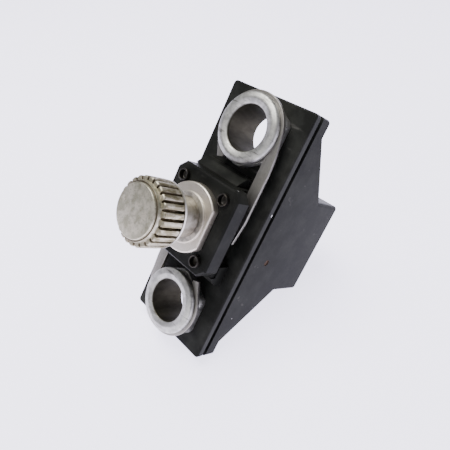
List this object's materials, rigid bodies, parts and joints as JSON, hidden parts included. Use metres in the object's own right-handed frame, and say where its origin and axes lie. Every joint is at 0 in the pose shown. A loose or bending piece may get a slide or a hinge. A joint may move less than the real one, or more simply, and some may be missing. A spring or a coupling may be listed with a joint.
{
  "type": "cartridge fuse holder",
  "caption": "Panel cartridge fuse holder: moulded wedge body with a cover plate, two tubular terminals on flat straps, and a knurled screw cap on a flanged collar.",
  "frame": {"origin": "centre of the rear face of the foot, on the fuse's axis", "axes": "+Z along the fuse's axis, out of the front through the cap; Y along the cover plate, from the lower terminal to the upper one; X across the cover plate"},
  "size_m": [0.025, 0.063, 0.0558],
  "materials": {
    "moulding": "semi-gloss black phenolic moulding",
    "tinned_brass": "dull tin plate on turned brass",
    "strap_metal": "tinned strip with drawn lines",
    "rivet_metal": "darkened plated brass",
    "plated_steel": "zinc plate",
    "nickel_plate": "worn nickel plate",
    "contact_brass": "plain brass",
    "spring_steel": "bright spring wire",
    "fuse_glass": "clear",
    "fuse_wire": "bright wire"
  },
  "bodies": {
    "root": {"housing": "moulding", "cover_plate": "moulding", "boss_block": "moulding", "boss_rivets": "rivet_metal", "upper_bush": "tinned_brass", "lower_bush": "tinned_brass", "rear_washers": "plated_steel", "upper_strap": "strap_metal", "lower_strap": "strap_metal", "front_collar": "nickel_plate", "collar_nut": "nickel_plate", "rear_contact_strip": "contact_brass", "rear_contact_rivet": "contact_brass", "contact_spring": "spring_steel"},
    "fuse": {"contact_cup": "contact_brass", "fuse_ferrule_rear": "nickel_plate", "fuse_ferrule_front": "nickel_plate", "fuse_tube": "fuse_glass", "fuse_wire": "fuse_wire"},
    "cap": {"cap_knob": "nickel_plate", "cap_ring": "nickel_plate", "cap_sleeve": "nickel_plate", "cap_clip": "contact_brass"}
  },
  "joints": [
    {"name": "cap_travel", "type": "slide", "parent": "root", "child": "fuse", "axis": [0, 0, 1], "range_m": [0, 0.004], "deforming": ["contact_spring"]},
    {"name": "cap_turn", "type": "hinge", "parent": "fuse", "child": "cap", "pos_m": [0, 0, 0.045], "axis": [0, 0, 1], "range_deg": [0, 1440]}
  ],
  "couplings": [
    {"joint": "cap_travel", "follows": "cap_turn", "m_per_rad": 0.00015915}
  ]
}
